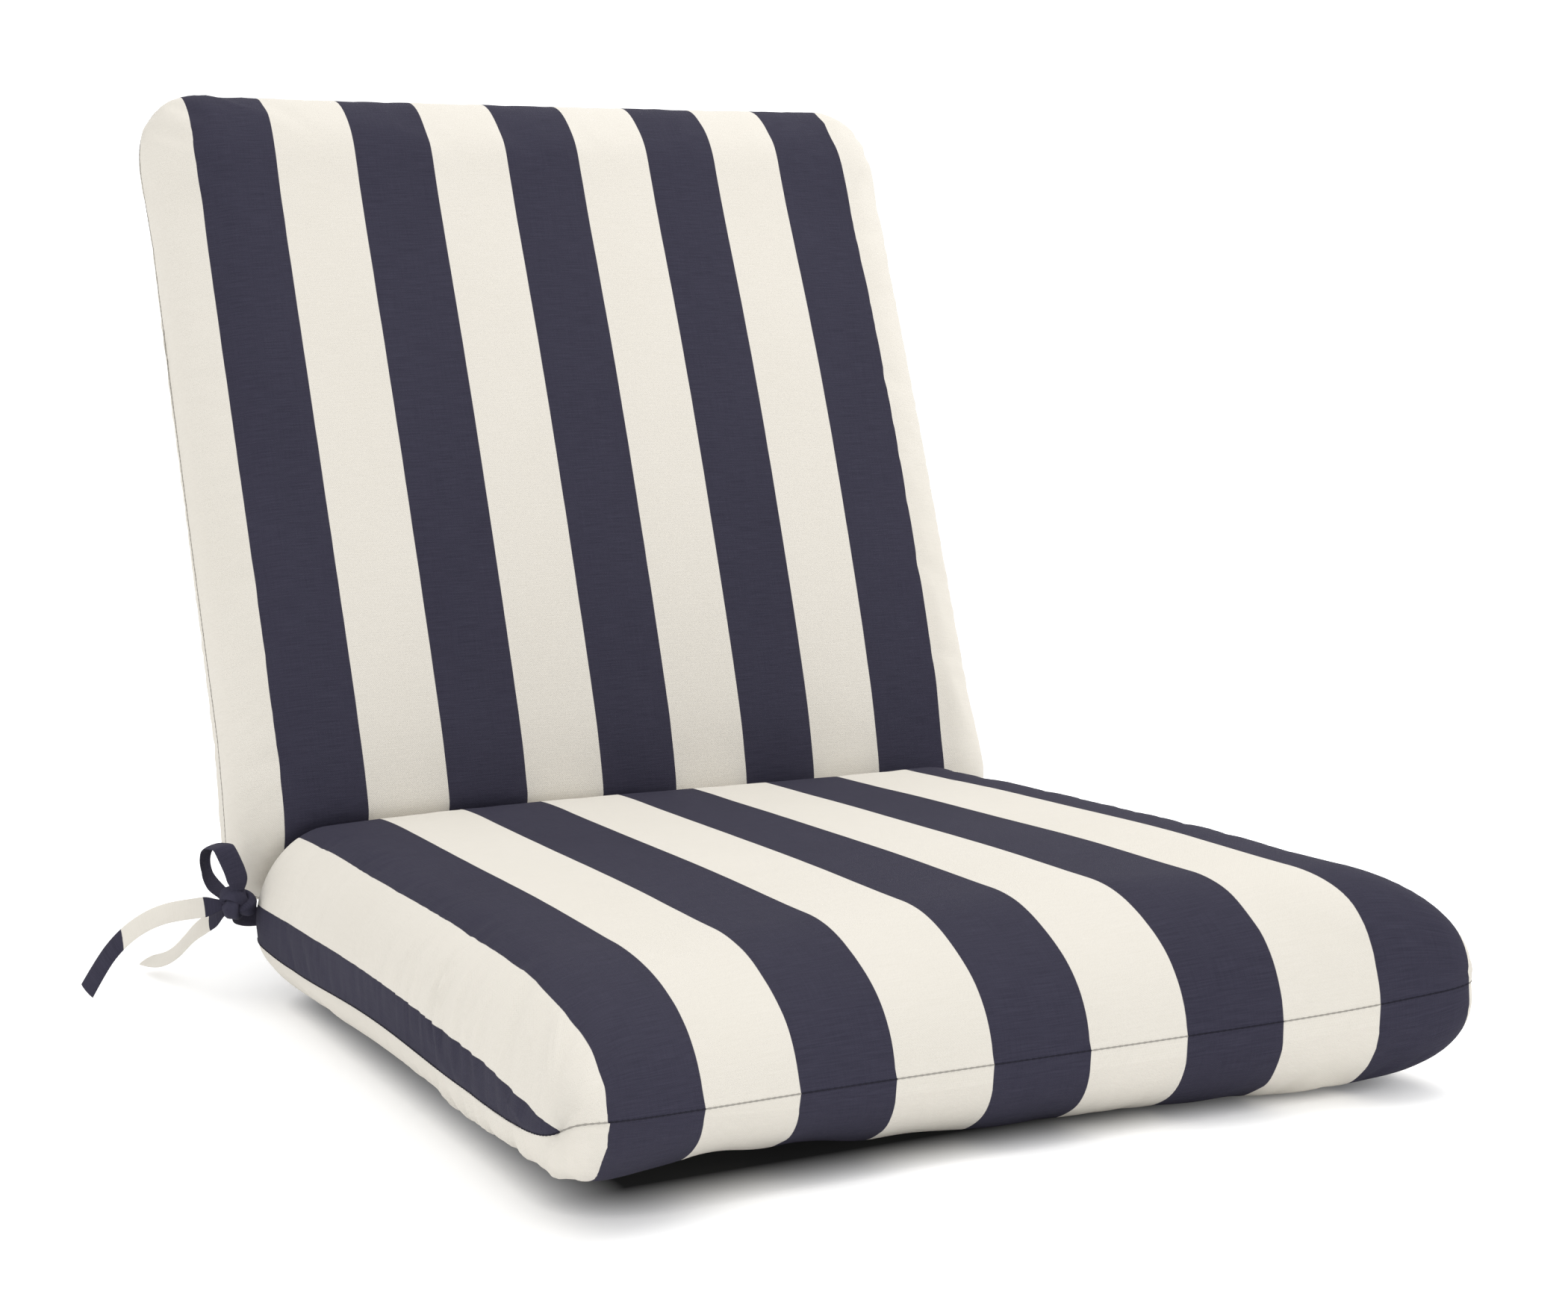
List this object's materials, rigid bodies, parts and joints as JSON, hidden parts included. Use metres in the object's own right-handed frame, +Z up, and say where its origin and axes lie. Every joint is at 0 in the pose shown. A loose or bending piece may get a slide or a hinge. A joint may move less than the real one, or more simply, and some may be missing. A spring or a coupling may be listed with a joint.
{
  "type": "hinged chair cushion",
  "caption": "Striped outdoor chair cushion: a stuffed seat pad and a stuffed back pad joined by a folding fabric hinge, with tie tapes at the hinge ends.",
  "frame": {"origin": "centre of the seat pad's flat underside", "axes": "+X to the right seen from the front, +Y to the rear, +Z up"},
  "size_m": [0.6415, 0.7295, 0.5518],
  "materials": {
    "striped_cloth": "woven polyester, off-white and navy stripes about 50 mm wide",
    "hinge_cloth": "the same cloth, doubled",
    "tie_tape": "the same cloth, folded to a 12 mm tape",
    "seam_thread": "polyester sewing thread",
    "polyester_fibre": "bonded polyester fibre",
    "foam": "open-cell polyurethane foam"
  },
  "bodies": {
    "seat": {"seat_top_panel": "striped_cloth", "seat_bottom_panel": "striped_cloth", "seat_seam_thread": "seam_thread", "seat_top_fibre": "polyester_fibre", "seat_bottom_fibre": "polyester_fibre", "seat_foam_core": "foam", "hinge_strip_seat_edge": "hinge_cloth", "left_tie_root": "tie_tape", "left_tie_knot": "tie_tape", "left_tie_loop": "tie_tape", "left_tie_long_tail": "tie_tape", "left_tie_short_tail": "tie_tape", "right_tie_root": "tie_tape", "right_tie_knot": "tie_tape", "right_tie_loop": "tie_tape", "right_tie_long_tail": "tie_tape", "right_tie_short_tail": "tie_tape"},
    "strip": {"hinge_strip": "hinge_cloth"},
    "back": {"back_front_panel": "striped_cloth", "back_rear_panel": "striped_cloth", "back_seam_thread": "seam_thread", "back_front_fibre": "polyester_fibre", "back_rear_fibre": "polyester_fibre", "back_foam_core": "foam", "hinge_strip_back_edge": "hinge_cloth"}
  },
  "joints": [
    {"name": "strip_fold", "type": "hinge", "parent": "seat", "child": "strip", "pos_m": [0, 0.256, 0.0465], "axis": [-1, 0, 0], "range_deg": [0, 35.3]},
    {"name": "back_fold", "type": "hinge", "parent": "strip", "child": "back", "pos_m": [0, 0.26579, 0.05343], "axis": [-1, 0, 0], "range_deg": [0, 35.3]}
  ],
  "couplings": [
    {"joint": "strip_fold", "follows": "back_fold", "ratio": 1}
  ]
}
